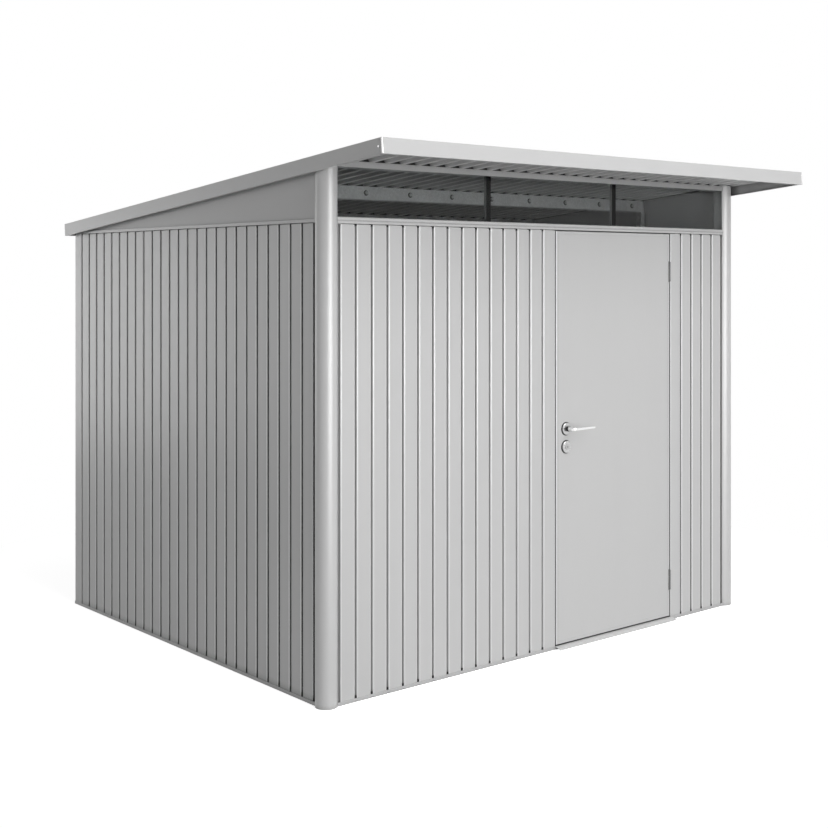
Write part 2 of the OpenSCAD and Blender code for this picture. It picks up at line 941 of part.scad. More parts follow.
// Door leaf: a folded sheet tray closed by a flat back, with its halves of the hinges.
function leaf_arc(t) = [for (a = [0 : 45 : 90]) [leaf_r - (leaf_r - t) * cos(a),
    leaf_r - (leaf_r - t) * sin(a)]];
function leaf_line(t) = flat([[[t, tray_d - t]], leaf_arc(t),
    [for (q = rev(leaf_arc(t))) [leaf_w - q[0], q[1]]], [[leaf_w - t, tray_d - t]]]);
module leaf_holes() {
    translate([lever_x, -over, lever_z])
        rotate([-90, 0, 0])
            cylinder(r = spindle_r + spindle_room, h = leaf_d + 2 * over);
    translate([lever_x, -over, lock_z])
        rotate([-90, 0, 0])
            cylinder(r = cylinder_r + cope, h = leaf_d + 2 * over);
}
// The line round the leaf's face, as a cut.
module leaf_rim() {
    inner = rim_in + rim_w;
    translate([0, -over, leaf_z0])
        difference() {
            translate([rim_in, 0, rim_in])
                cube([leaf_w - 2 * rim_in, over + rim_d, leaf_h - 2 * rim_in]);
            translate([inner, -over, inner])
                cube([leaf_w - 2 * inner, rim_d + 3 * over, leaf_h - 2 * inner]);
        }
}
module door_leaf() {
    color("#c6c7c8")
        leaf_place()
            difference() {
                translate([0, 0, leaf_z0])
                    linear_extrude(leaf_h)
                        polygon(leaf_line(0));
                translate([0, 0, leaf_z0 + leaf_t])
                    linear_extrude(leaf_h - 2 * leaf_t)
                        polygon(leaf_line(leaf_t));
                translate([leaf_fold, tray_d - leaf_t - over, leaf_z0 + leaf_fold])
                    cube([leaf_w - 2 * leaf_fold, leaf_t + 2 * over, leaf_h - 2 * leaf_fold]);
                for (z = [hinge_low, hinge_high])
                    translate([leaf_w - notch_w, -over, z - hinge_h / 2 - notch_room])
                        cube([notch_w + over, notch_d + over, hinge_h + 2 * notch_room]);
                leaf_holes();
                leaf_rim();
            }
}
module door_back() {
    color("#b4b5b6")
        leaf_place()
            difference() {
                translate([leaf_t, tray_d, leaf_z0 + leaf_t])
                    cube([leaf_w - 2 * leaf_t, leaf_t, leaf_h - 2 * leaf_t]);
                leaf_holes();
            }
}
module door_hinge_plates() {
    h = knuckle_h - 2 * knuckle_gap;
    color("#77797b")
        front_side()
            for (z = [hinge_low, hinge_high])
                difference() {
                    union() {
                        knuckle(z - h / 2, z + h / 2);
                        translate([leaf_x1 - leaf_plate_w, leaf_t, z - h / 2])
                            cube([leaf_plate_w + axis_out - over, leaf_plate_t, h]);
                    }
                    translate([axis_x, -axis_front, z - knuckle_h])
                        cylinder(r = pin_r + running, h = 2 * knuckle_h);
                }
}

// Handle and lock.
module lever_place() {
    leaf_place()
        translate([lever_x, 0, lever_z])
            children();
}
module lock_place() {
    leaf_place()
        translate([lever_x, 0, lock_z])
            children();
}
module inner_face() {
    translate([0, leaf_d, 0])
        mirror([0, 1, 0])
            children();
}
module both_faces() {
    children();
    inner_face()
        children();
}
module rose(hole_r) {
    rotate([90, 0, 0])
        difference() {
            rotate_extrude()
                polygon([[0, 0], [rose_r, 0], [rose_r, rose_d - bevel], [rose_r - bevel, rose_d],
                    [0, rose_d]]);
            translate([0, 0, -over])
                cylinder(r = hole_r, h = rose_d + 2 * over);
        }
}
module handle_roses() {
    color("#b0b1b3")
        lever_place()
            both_faces()
                rose(neck_r + running);
}
// A round bar: neck, bend, and a grip that tapers to a round tip.
module grip_section() {
    taper = grip_len - tip_r - bend_r;
    intersection() {
        union() {
            polygon([[0, 0], [neck_r, 0], [tip_r, taper], [0, taper]]);
            translate([0, taper])
                circle(r = tip_r);
        }
        square([neck_r, taper + tip_r]);
    }
}
module lever() {
    rotate([90, 0, 0])
        translate([0, 0, neck_gap])
            cylinder(r = neck_r, h = grip_out - bend_r - neck_gap);
    translate([bend_r, bend_r - grip_out, 0])
        rotate([0, 0, 180])
            rotate_extrude(angle = 90)
                translate([bend_r, 0])
                    circle(r = neck_r);
    translate([bend_r, -grip_out, 0])
        rotate([0, 90, 0])
            rotate_extrude()
                grip_section();
}
module lever_outside() {
    color("#c3c4c6")
        lever_place()
            lever();
}
module lever_inside() {
    color("#c3c4c6")
        lever_place()
            inner_face()
                lever();
}
module lever_spindle() {
    color("#8e8f91")
        lever_place()
            translate([0, -neck_gap, 0])
                rotate([-90, 0, 0])
                    cylinder(r = spindle_r, h = leaf_d + 2 * neck_gap);
}
module lock_plates() {
    color("#b0b1b3")
        lock_place()
            both_faces()
                rose(cylinder_r + cope);
}
module lock_cylinder() {
    front = rose_d + collar_t;
    color("#d0cfca")
        lock_place()
            difference() {
                union() {
                    translate([0, -front, 0])
                        rotate([-90, 0, 0])
                            cylinder(r = cylinder_r, h = leaf_d + 2 * front);
                    both_faces()
                        translate([0, -front, 0])
                            rotate([-90, 0, 0])
                                cylinder(r = cylinder_r + collar_w, h = collar_t);
                }
                both_faces()
                    translate([-key_w / 2, -front - over, -key_h / 2])
                        cube([key_w, key_d + over, key_h]);
            }
}

base_rail_front();
base_rail_rear();
base_rail_left();
base_rail_right();
door_sill();
post_front_left();
post_front_right();
post_rear_left();
post_rear_right();
front_wall_left();
front_wall_right();
left_wall();
right_wall();
rear_wall();
front_rail();
front_keepers();
side_rail_left();
side_rail_right();
rear_rail();
header_beam();
glazing();
mullions();
gable_left();
gable_right();
purlin_front();
purlin_rear();
purlin_posts_left();
purlin_posts_right();
roof_sheets();
fascia_front();
fascia_rear();
fascia_left();
fascia_right();
door_jambs();
door_stops();
hinge_brackets();
door_leaf();
door_back();
door_hinge_plates();
handle_roses();
lock_plates();
lock_cylinder();
lever_outside();
lever_inside();
lever_spindle();
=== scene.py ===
import json
import math

import bmesh
import bpy
from mathutils import Matrix, Vector


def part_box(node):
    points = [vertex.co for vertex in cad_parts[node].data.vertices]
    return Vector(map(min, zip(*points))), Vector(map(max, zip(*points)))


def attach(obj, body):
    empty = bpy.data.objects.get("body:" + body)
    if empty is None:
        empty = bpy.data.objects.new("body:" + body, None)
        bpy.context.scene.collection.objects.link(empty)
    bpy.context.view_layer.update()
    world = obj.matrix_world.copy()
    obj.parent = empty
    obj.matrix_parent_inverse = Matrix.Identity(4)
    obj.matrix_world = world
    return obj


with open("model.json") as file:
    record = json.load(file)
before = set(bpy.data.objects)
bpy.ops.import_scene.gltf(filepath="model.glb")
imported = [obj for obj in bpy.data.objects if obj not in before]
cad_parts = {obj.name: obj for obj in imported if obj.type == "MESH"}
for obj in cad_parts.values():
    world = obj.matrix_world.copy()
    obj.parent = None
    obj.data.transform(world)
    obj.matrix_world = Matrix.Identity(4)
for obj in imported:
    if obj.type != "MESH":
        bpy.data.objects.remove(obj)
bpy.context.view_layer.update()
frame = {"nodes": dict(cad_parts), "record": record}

# Camera fitted to the photograph: place in metres in the part's frame, turn in degrees, and the
# focal length and the horizon in pixels of the photograph
CAMERA_AT = (-4.2805, -5.01745, 1.6808)
CAMERA_TURN = 39.996
FOCAL_PX = 1323.93
PHOTO_PX = 828
HORIZON_PX = 272.82
SENSOR_MM = 36.0

# Measures of the shed that the small pieces need, in metres
MM = 0.001
# Gap between a small piece and what it sits in
ROOM = 0.3 * MM
FRONT_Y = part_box("front_wall_left")[0].y
REAR_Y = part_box("rear_wall")[1].y
WALL_X = 1272 * MM
# Tops of the front sheets and of the others, and half the runs of sheets between the corners
WALL_H = 1873 * MM
SIDE_H = 1877 * MM
RUN_X = 1200 * MM
RUN_Y = 1000 * MM
# Pitch of the roof's ribs and of the walls' grooves
RIB_PITCH = 80 * MM

# Roof: its ribs, the header, the purlins with their dimples and the rear rail's flange
RIBS = 32
CROWN_Z = 13.2 * MM
CROWN_W = 46 * MM
RIB_FOOT_W = 58 * MM
ROOF_RIB_H = 14 * MM
FILLER_IN = 4 * MM
HEADER_W = 40 * MM
PURLINS = (555 * MM, 1390 * MM)
PURLIN_W = 36 * MM
PURLIN_H = 58 * MM
DIMPLES = 10
DIMPLE_PITCH = 257 * MM
DIMPLE_D = 1 * MM
REAR_FLANGE = 34 * MM
ROOF_Z = 2118 * MM
ROOF_FALL = 200 * MM
SLOPE = math.atan2(ROOF_FALL, REAR_Y - FRONT_Y)
REAR_AT = (REAR_Y - FRONT_Y) / math.cos(SLOPE)
# The roof's own frame: x across, y down the slope from the front wall, z out of the roof
ROOF = Matrix.Translation((0.0, FRONT_Y, ROOF_Z)) @ Matrix.Rotation(-SLOPE, 4, "X")
ROOF_BACK = ROOF.to_3x3() @ Vector((0.0, 1.0, 0.0))
ROOF_UP = ROOF.to_3x3() @ Vector((0.0, 0.0, 1.0))

# Bolts: radius of the washer, radius and height of the head
ROUND_SIDES = 24
RING_SIDES = 48
HEX_SIDES = 6
WASHER_T = 1.2 * MM
ROOF_BOLT = (9 * MM, 4.5 * MM, 4 * MM)
PURLIN_BOLT = (12 * MM, 8 * MM, 6 * MM)
ANCHOR_BOLT = (11 * MM, 8 * MM, 6 * MM)
ANCHOR_X = 1000 * MM
ANCHOR_D = 32.9 * MM
# Flat screw heads: radius at the foot, height, radius at the top
FASCIA_HEAD = (4 * MM, 0.8 * MM, 3 * MM)
HINGE_HEAD = (4 * MM, 1 * MM, 2.5 * MM)

# Fascia, in the roof's frame: a screw in each side, and a bead from foot to head of each corner, in
# a bright metal that paints the corner's highlight
ROOF_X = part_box("fascia_right")[1].x
FASCIA_SCREW_AT = -376 * MM
FASCIA_SCREW_Z = -15 * MM
FASCIA_FRONT = -399 * MM
FASCIA_BEAD = (-43 * MM, 14 * MM)
BEAD_R = 3.5 * MM
BEAD_IN = 3 * MM

# Grooves of the walls, and the base rail
SHEET_GAP = 3 * MM
GROOVE_W = 9 * MM
GROOVE_FLOOR = 7 * MM
GROOVE_D = 13 * MM
PLUG_IN = 1 * MM
PLUG_FOOT = 9 * MM
PLUG_HEAD = 6 * MM
RAIL_T = 2 * MM
BASE_H = 14 * MM

# Doorway with its seals
OPEN_X0 = -1 * MM
OPEN_X1 = 801 * MM
FRAME_D = 44.8 * MM
SEAL_IN = 4 * MM
SEAL_W = 10 * MM
SEAL_T = 3.5 * MM
SEAL_TOP = 1845 * MM
THRESHOLD_IN = 2 * MM
THRESHOLD_W = 30 * MM
THRESHOLD_T = 0.8 * MM

# Handle, lock and hinges
LEAF_MID = 18 * MM
LEVER_X = 68 * MM
LEVER_Z = 980 * MM
LOCK_Z = 899 * MM
ROSE_R = 27 * MM
NECK_R = 8.5 * MM
GASKET_W = 3 * MM
GASKET_T = 2 * MM
BUSH_W = 2.5 * MM
BUSH_H = 10 * MM
# The face plate, the latch and the bolt: reach out of the leaf's edge, half depth, foot and top
LATCH_BLOCKS = ((1 * MM, 10 * MM, 860 * MM, 1030 * MM), (3.5 * MM, 6 * MM, 965 * MM, 995 * MM),
                (3.5 * MM, 5 * MM, 885 * MM, 913 * MM))
STRIKE_T = 1 * MM
STRIKE_HALF_D = 11 * MM
STRIKE_HOLE_HALF_D = 7 * MM
STRIKE_BARS = ((855 * MM, 880 * MM), (918 * MM, 960 * MM), (1000 * MM, 1035 * MM))
STRIKE_HOLES = ((880 * MM, 918 * MM), (960 * MM, 1000 * MM))
HINGES_Z = (194 * MM, 1686 * MM)
HINGE_PLATE = 3.2 * MM
HINGE_SCREW_D = 20 * MM
HINGE_SCREW_STEP = 30 * MM

# Floor and light
FLOOR_SIZE = 80
FLOOR_PLAIN = 0.7
FLOOR_SEEN = 7.0
FADE_FROM = 1.6
FADE_TO = 3.0
FADE_LEAST = 0.9
WORLD_LIGHT = 0.055
# A ray with a diffuse depth below this has not met a matt face
MATT_DEPTH = 0.5
# Each lamp: name, place, target, width and height in metres, power in watts
LAMPS = [
    ("front_low", (0.0, -9.66, 3.59), (0.0, 0.0, 1.0), (5.0, 3.5), 186.0),
    ("front_mid", (0.0, -7.66, 7.43), (0.0, 0.0, 1.0), (5.0, 5.0), 280.0),
    ("front_top", (0.0, -4.23, 10.06), (0.0, 0.0, 1.0), (5.0, 5.0), 247.0),
    ("front_foot", (-0.6, -6.0, 0.9), (-0.3, -0.9, 0.3), (4.0, 1.0), 60.0),
    ("rear_left", (-4.83, 8.37, 3.59), (0.0, 0.0, 1.0), (5.0, 5.0), 6.0),
    ("side_rear", (-3.4, 5.5, 2.4), (-1.27, 1.0, 1.4), (2.5, 3.5), 5.5),
    ("side_foot", (-3.4, 5.5, 1.2), (-1.27, 0.6, 0.6), (2.5, 2.0), 17.0),
]

scene = bpy.context.scene
scene.view_settings.view_transform = "Standard"


# Materials
# Painted shade in hollows, from an occlusion node: how far it reaches and its samples
CREASE_SHADE_REACH = 45 * MM
CREASE_SHADE_SAMPLES = 4
# Painted shade in a crease: tone at its deepest, and the openness there and where the shade ends;
# the front wall's copy of the sheet takes a lighter painted shade and the side and rear walls' copy
# a darker one
CREASE_SHADE = (0.25, 0.0, 0.75)
CREASE_SHADE_FRONT = (0.8, 0.0, 0.75)
CREASE_SHADE_SIDE = (0.05, 0.5, 0.85)
# Slant of a face, as the product of its normal's x and y, from which it counts as a fold's lip and
# gets the painted highlight
LIP_HIGHLIGHT_FROM = 0.2
LIP_HIGHLIGHT_TO = 0.3
# Part of a noise's range that is spread out, then the grain, the tones and the gloss of each finish
NOISE_LOW = 0.3
NOISE_HIGH = 0.7
FLAKE_SCALE = 1400.0
BAND_SCALE = 9.0
BAND_STRETCH = (1.0, 1.0, 0.12)
GLOSS_SCALE = 35.0
GLOSS_SPREAD = 0.03
PEEL_SCALE = 420.0
PEEL_DEPTH = 0.5 * MM
BRUSH_SCALE = 900.0
BRUSH_ALONG_X = (0.05, 1.0, 1.0)
BRUSH_ALONG_Z = (1.0, 1.0, 0.05)
BRUSH_TONE = (0.94, 1.05)
BRUSH_GLOSS = (0.05, 0.06)
SPANGLE_SCALE = 110.0
SPANGLE_TONE = (0.93, 1.06)
SPANGLE_GLOSS = 0.05
ZINC_SCALE = 12.0
ZINC_TONE = (0.95, 1.05)
ZINC_METALLIC = 0.35
GRAIN_TONE = (0.8, 1.2)
PANE_COLOR = (0.93, 0.95, 0.95, 1.0)
PANE_IOR = 1.2
WIPE_SCALE = 14.0
WIPE_STRETCH = (1.0, 1.0, 3.0)
WIPE_MOST = 0.03


def grey(level):
    return (level, level, level)


def new_material(name):
    material = bpy.data.materials.new(name)
    material.use_nodes = True
    tree = material.node_tree
    return material, tree, tree.nodes["Principled BSDF"]


def add_node(tree, kind, **inputs):
    node = tree.nodes.new(kind)
    for key, value in inputs.items():
        node.inputs[key.replace("_", " ")].default_value = value
    return node


def noise(tree, place, scale, detail=2.0, stretch=(1.0, 1.0, 1.0)):
    mapping = add_node(tree, "ShaderNodeMapping", Scale=stretch)
    tree.links.new(place.outputs["Object"], mapping.inputs["Vector"])
    node = add_node(tree, "ShaderNodeTexNoise", Scale=scale, Detail=detail)
    tree.links.new(mapping.outputs["Vector"], node.inputs["Vector"])
    return node.outputs["Fac"]


def spread(tree, value, low, high):
    node = add_node(tree, "ShaderNodeMapRange", From_Min=NOISE_LOW, From_Max=NOISE_HIGH,
                    To_Min=low, To_Max=high)
    tree.links.new(value, node.inputs["Value"])
    return node.outputs["Result"]


def combine(tree, operation, a, b):
    node = tree.nodes.new("ShaderNodeMath")
    node.operation = operation
    tree.links.new(a, node.inputs[0])
    tree.links.new(b, node.inputs[1])
    return node.outputs["Value"]


def times(tree, a, b):
    return combine(tree, "MULTIPLY", a, b)


def tint(tree, shader, color, value):
    scaled = tree.nodes.new("ShaderNodeVectorMath")
    scaled.operation = "SCALE"
    scaled.inputs["Vector"].default_value = color
    tree.links.new(value, scaled.inputs["Scale"])
    tree.links.new(scaled.outputs["Vector"], shader.inputs["Base Color"])


def painted_crease_shade(tree, crease=CREASE_SHADE):
    """Painted shade: 1 on open faces, darkening down to the first value of crease deep inside a
    fold.
    """
    dark, deep, opened = crease
    node = add_node(tree, "ShaderNodeAmbientOcclusion", Distance=CREASE_SHADE_REACH)
    node.samples = CREASE_SHADE_SAMPLES
    level = add_node(tree, "ShaderNodeMapRange", From_Min=deep, From_Max=opened, To_Min=dark)
    tree.links.new(node.outputs["AO"], level.inputs["Value"])
    return level.outputs["Result"]


def painted_lip_highlight(tree, place, lift):
    """lift on the rounded lips of each upright fold, as a painted highlight, and 1 elsewhere."""
    normal = tree.nodes.new("ShaderNodeSeparateXYZ")
    tree.links.new(place.outputs["Normal"], normal.inputs["Vector"])
    slant = tree.nodes.new("ShaderNodeMath")
    slant.operation = "ABSOLUTE"
    tree.links.new(times(tree, normal.outputs["X"], normal.outputs["Y"]), slant.inputs[0])
    level = add_node(tree, "ShaderNodeMapRange", From_Min=LIP_HIGHLIGHT_FROM, From_Max=LIP_HIGHLIGHT_TO,
                     To_Min=1.0, To_Max=lift)
    tree.links.new(slant.outputs["Value"], level.inputs["Value"])
    return level.outputs["Result"]


def paint(name, color, metallic, roughness, flake=0.03, cloud=0.006, peel=0.02, fold=1.0,
          crease=CREASE_SHADE):
    """Metallic paint on sheet: fine flakes, faint upright bands, uneven gloss, painted shade in
    each crease and a painted highlight on the lips of each fold.
    """
    material, tree, shader = new_material(name)
    place = tree.nodes.new("ShaderNodeTexCoord")
    flakes = spread(tree, noise(tree, place, FLAKE_SCALE, 1.0), 1 - flake, 1 + flake)
    bands = spread(tree, noise(tree, place, BAND_SCALE, 3.0, BAND_STRETCH), 1 - cloud, 1 + cloud)
    # Painted shade in each crease times a painted highlight on fold lips
    painted_shade_and_highlight = times(tree, painted_crease_shade(tree, crease), painted_lip_highlight(tree, place, fold))
    tone = times(tree, times(tree, flakes, bands), painted_shade_and_highlight)
    tint(tree, shader, color, tone)
    shader.inputs["Metallic"].default_value = metallic
    gloss = spread(tree, noise(tree, place, GLOSS_SCALE, 3.0),
                   roughness - GLOSS_SPREAD, roughness + GLOSS_SPREAD)
    tree.links.new(gloss, shader.inputs["Roughness"])
    bump = add_node(tree, "ShaderNodeBump", Strength=peel, Distance=PEEL_DEPTH)
    tree.links.new(noise(tree, place, PEEL_SCALE, 2.0), bump.inputs["Height"])
    tree.links.new(bump.outputs["Normal"], shader.inputs["Normal"])
    return material


def brushed(name, color, metallic, roughness, stretch):
    """Satin metal with fine brush lines along one way, and painted shade in each crease."""
    material, tree, shader = new_material(name)
    place = tree.nodes.new("ShaderNodeTexCoord")
    lines = noise(tree, place, BRUSH_SCALE, 3.0, stretch)
    tint(tree, shader, color, times(tree, spread(tree, lines, *BRUSH_TONE), painted_crease_shade(tree)))
    shader.inputs["Metallic"].default_value = metallic
    below, above = BRUSH_GLOSS
    gloss = spread(tree, lines, roughness - below, roughness + above)
    tree.links.new(gloss, shader.inputs["Roughness"])
    return material


def galvanised(name, color, roughness):
    """Zinc-coated steel with a faint spangle."""
    material, tree, shader = new_material(name)
    place = tree.nodes.new("ShaderNodeTexCoord")
    cells = add_node(tree, "ShaderNodeTexVoronoi", Scale=SPANGLE_SCALE)
    tree.links.new(place.outputs["Object"], cells.inputs["Vector"])
    cell_tone = tree.nodes.new("ShaderNodeRGBToBW")
    tree.links.new(cells.outputs["Color"], cell_tone.inputs["Color"])
    spangle = spread(tree, cell_tone.outputs["Val"], *SPANGLE_TONE)
    clouds = spread(tree, noise(tree, place, ZINC_SCALE, 3.0), *ZINC_TONE)
    tint(tree, shader, color, times(tree, spangle, clouds))
    shader.inputs["Metallic"].default_value = ZINC_METALLIC
    gloss = spread(tree, cell_tone.outputs["Val"],
                   roughness - SPANGLE_GLOSS, roughness + SPANGLE_GLOSS)
    tree.links.new(gloss, shader.inputs["Roughness"])
    return material


def plain(name, color, roughness, grain):
    """Rubber, foam or plastic with a fine grain."""
    material, tree, shader = new_material(name)
    place = tree.nodes.new("ShaderNodeTexCoord")
    tint(tree, shader, color, spread(tree, noise(tree, place, grain, 2.0), *GRAIN_TONE))
    shader.inputs["Roughness"].default_value = roughness
    return material


def clear_pane(name):
    """Clear pane with faint wipe marks."""
    material, tree, shader = new_material(name)
    place = tree.nodes.new("ShaderNodeTexCoord")
    shader.inputs["Base Color"].default_value = PANE_COLOR
    shader.inputs["IOR"].default_value = PANE_IOR
    shader.inputs["Transmission Weight"].default_value = 1.0
    marks = spread(tree, noise(tree, place, WIPE_SCALE, 4.0, WIPE_STRETCH), 0.0, WIPE_MOST)
    tree.links.new(marks, shader.inputs["Roughness"])
    return material


SHEET = dict(metallic=0.18, roughness=0.32, flake=0.02, cloud=0.006, peel=0.006)
MATERIALS = {
    # The sheet's paint has painted crease shade and a painted highlight on fold lips, lifted by
    # fold
    "sheet_silver": paint("sheet_silver", grey(0.585), **SHEET, fold=1.35),
    # Copies of the sheet's paint for the walls: the front wall's with lighter painted crease shade
    # and a weaker painted lip highlight, the side and rear walls' with darker painted crease shade
    # and a stronger painted lip highlight
    "sheet_front_painted_light": paint("sheet_front_painted_light", grey(0.585), **SHEET, fold=1.28, crease=CREASE_SHADE_FRONT),
    "sheet_side_painted_light": paint("sheet_side_painted_light", grey(0.585), **SHEET, fold=1.7, crease=CREASE_SHADE_SIDE),
    "post_silver": paint("post_silver", grey(0.6), 0.25, 0.36,
                         flake=0.015, cloud=0.004, peel=0.003),
    "frame_silver": paint("frame_silver", grey(0.48), 0.1, 0.42),
    # Lighter copies of the silver paint: their extra tone paints light on the sill's top and on the
    # gables
    "sill_silver_painted_light": paint("sill_silver_painted_light", grey(0.78), 0.1, 0.4),
    "gable_silver_painted_light": paint("gable_silver_painted_light", grey(0.66), 0.1, 0.42),
    "frame_dark": paint("frame_dark", grey(0.32), 0.0, 0.45),
    "frame_steel": galvanised("frame_steel", grey(0.62), 0.5),
    # The hinges' dark tone paints the shadow gap beside their knuckles
    "hinge_steel": brushed("hinge_steel", grey(0.25), 0.5, 0.4, BRUSH_ALONG_Z),
    "handle_metal": brushed("handle_metal", grey(0.6), 0.95, 0.28, BRUSH_ALONG_X),
    # A brighter copy of the handle's metal: its tone paints a white highlight on the levers and on
    # the fascia's corner beads, and it also serves the fascia's screws
    "bright_metal_and_painted_highlight": brushed("bright_metal_and_painted_highlight", grey(0.9), 0.95, 0.2, BRUSH_ALONG_X),
    "lock_metal": brushed("lock_metal", grey(0.5), 0.9, 0.3, BRUSH_ALONG_Z),
    "glazing_clear": clear_pane("glazing_clear"),
    "foam_dark": plain("foam_dark", grey(0.02), 0.9, 260.0),
    "rubber_black": plain("rubber_black", grey(0.015), 0.6, 500.0),
    "screw_zinc": galvanised("screw_zinc", grey(0.5), 0.4),
}
# Nodes that take another material than their slot: lighter copies whose tone paints light (a
# highlight on the levers, light on the gables and on the sill), and the walls' copies of the sheet
# with their own painted shade and highlight
SPECIAL = {
    "lever_outside": "bright_metal_and_painted_highlight", "lever_inside": "bright_metal_and_painted_highlight",
    "gable_left": "gable_silver_painted_light", "gable_right": "gable_silver_painted_light", "door_sill": "sill_silver_painted_light",
    "front_wall_left": "sheet_front_painted_light", "left_wall": "sheet_side_painted_light", "right_wall": "sheet_side_painted_light",
    "rear_wall": "sheet_side_painted_light",
}

for subpart in frame["record"]["subparts"]:
    finish = SPECIAL.get(subpart["node"], subpart["material_slot"])
    item = frame["nodes"][subpart["node"]]
    item.data.materials.clear()
    item.data.materials.append(MATERIALS[finish])


# Small pieces that the photograph shows or that such sheds have, each riding on its body
def add_piece(name, fill, material, body="shed"):
    """One named mesh: fill draws it in a bmesh, in the part's frame."""
    mesh = bpy.data.meshes.new(name)
    shape = bmesh.new()
    fill(shape)
    shape.to_mesh(mesh)
    shape.free()
    mesh.materials.append(MATERIALS[material])
    item = bpy.data.objects.new(name, mesh)
    scene.collection.objects.link(item)
    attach(item, body)


def add_box(shape, low, high):
    low, high = Vector(low), Vector(high)
    place = Matrix.Translation((low + high) / 2) @ Matrix.Diagonal((*(high - low), 1.0))
    bmesh.ops.create_cube(shape, size=1.0, matrix=place)


def standing(at, out):
    """The frame with its origin at the point at and its z along out."""
    turn = Vector(out).to_track_quat("Z", "Y").to_matrix().to_4x4()
    return Matrix.Translation(Vector(at)) @ turn


def add_head(shape, at, out, foot, height, top, sides=ROUND_SIDES):
    """A round or many-sided head that stands on the point at and rises along out."""
    out = Vector(out).normalized()
    bmesh.ops.create_cone(shape, cap_ends=True, segments=sides, radius1=foot, radius2=top,
                          depth=height, matrix=standing(Vector(at) + out * height / 2, out))


def add_disc(shape, at, out, radius, height, sides=ROUND_SIDES):
    add_head(shape, at, out, radius, height, radius, sides)


def add_ring(shape, at, out, inner, outer, height, sides=RING_SIDES):
    """A flat ring that stands on the point at and rises along out."""
    place = standing(at, out)
    angles = [2 * math.pi * i / sides for i in range(sides)]
    loops = []
    for radius, z in ((inner, 0.0), (outer, 0.0), (outer, height), (inner, height)):
        points = [Vector((radius * math.cos(a), radius * math.sin(a), z)) for a in angles]
        loops.append([shape.verts.new(place @ point) for point in points])
    for here, above in zip(loops, loops[1:] + loops[:1]):
        for i in range(sides):
            j = (i + 1) % sides
            shape.faces.new((here[i], here[j], above[j], above[i]))


def add_bolt(shape, at, out, washer_r, head_r, head_h):
    """A hexagon head on a washer."""
    add_disc(shape, at, out, washer_r, WASHER_T)
    seat = Vector(at) + Vector(out).normalized() * WASHER_T
    add_disc(shape, seat, out, head_r, head_h, sides=HEX_SIDES)


def add_prism(shape, low, high):
    """A block between two outlines of four points that run the same way round."""
    shape.faces.new(low[::-1])
    shape.faces.new(high)
    for i in range(4):
        j = (i + 1) % 4
        shape.faces.new((low[i], low[j], high[j], high[i]))


def spaced(count, pitch):
    """Places at one pitch with their middle at 0."""
    return [(i - (count - 1) / 2) * pitch for i in range(count)]


def add_filler(shape, x, start, end):
    """A foam plug that fills one rib of the roof between two places along the slope."""
    low, high, top = RIB_FOOT_W / 2 - ROOM, CROWN_W / 2 - ROOM, CROWN_Z - ROOM
    corners = [(-low, ROOM), (low, ROOM), (high, top), (-high, top)]
    near, far = [[shape.verts.new(ROOF @ Vector((x + dx, along, z))) for dx, z in corners]
                 for along in (start, end)]
    add_prism(shape, far, near)


def rib_fillers(start, end):
    def fill(shape):
        for x in spaced(RIBS, RIB_PITCH):
            add_filler(shape, x, start, end)
    return fill


def roof_screws(shape):
    """A bolt on every second rib over the header, the purlins and the rear rail."""
    purlins = [along + PURLIN_W / 2 for along in PURLINS]
    for along in (HEADER_W / 2, *purlins, REAR_AT - REAR_FLANGE / 2):
        for x in spaced(RIBS, RIB_PITCH)[::2]:
            add_bolt(shape, ROOF @ Vector((x, along, ROOF_RIB_H)), ROOF_UP, *ROOF_BOLT)


def purlin_places():
    """The middles of the dimples in the front of both purlins."""
    return [ROOF @ Vector((x, along + DIMPLE_D, -PURLIN_H / 2))
            for along in PURLINS for x in spaced(DIMPLES, DIMPLE_PITCH)]


def purlin_washers(shape):
    for at in purlin_places():
        add_disc(shape, at, -ROOF_BACK, PURLIN_BOLT[0], WASHER_T)


def purlin_bolts(shape):
    for at in purlin_places():
        add_disc(shape, at - ROOF_BACK * WASHER_T, -ROOF_BACK, *PURLIN_BOLT[1:], sides=HEX_SIDES)


def wall_places():
    """Each wall's own frame: x along the wall, y inwards from its face, z up."""
    middle = (FRONT_Y + REAR_Y) / 2
    return {
        "front": Matrix.Translation((0.0, FRONT_Y, 0.0)),
        "rear": Matrix.Translation((0.0, REAR_Y, 0.0)) @ Matrix.Rotation(math.pi, 4, "Z"),
        "left": Matrix.Translation((-WALL_X, middle, 0.0)) @ Matrix.Rotation(-math.pi / 2, 4, "Z"),
        "right": Matrix.Translation((WALL_X, middle, 0.0)) @ Matrix.Rotation(math.pi / 2, 4, "Z"),
    }


def add_plug(shape, place, x, z0, z1):
    """A black rubber plug in one groove of a wall, whose colour paints the shade at the groove's
    end.
    """
    mouth, root, deep = GROOVE_W / 2 - ROOM, GROOVE_FLOOR / 2 - ROOM, GROOVE_D - ROOM
    corners = [(-mouth, PLUG_IN), (mouth, PLUG_IN), (root, deep), (-root, deep)]
    low, high = [[shape.verts.new(place @ Vector((x + dx, y, z))) for dx, y in corners]
                 for z in (z0, z1)]
    add_prism(shape, low, high)


def groove_plugs_painted_shade(wall, half_run, top):
    """Plugs at the foot and the head of every groove of one wall, but not across the doorway,
    painting the shade at the grooves' ends.
    """
    place = wall_places()[wall]

    def fill(shape):
        count = round(2 * half_run / RIB_PITCH)
        for i in range(1, count):
            x = -half_run + i * RIB_PITCH
            if wall == "front" and OPEN_X0 - RIB_PITCH / 2 < x < OPEN_X1 + RIB_PITCH / 2:
                continue
            add_plug(shape, place, x, BASE_H, BASE_H + PLUG_FOOT)
            add_plug(shape, place, x, top - SHEET_GAP - PLUG_HEAD, top)
    return fill


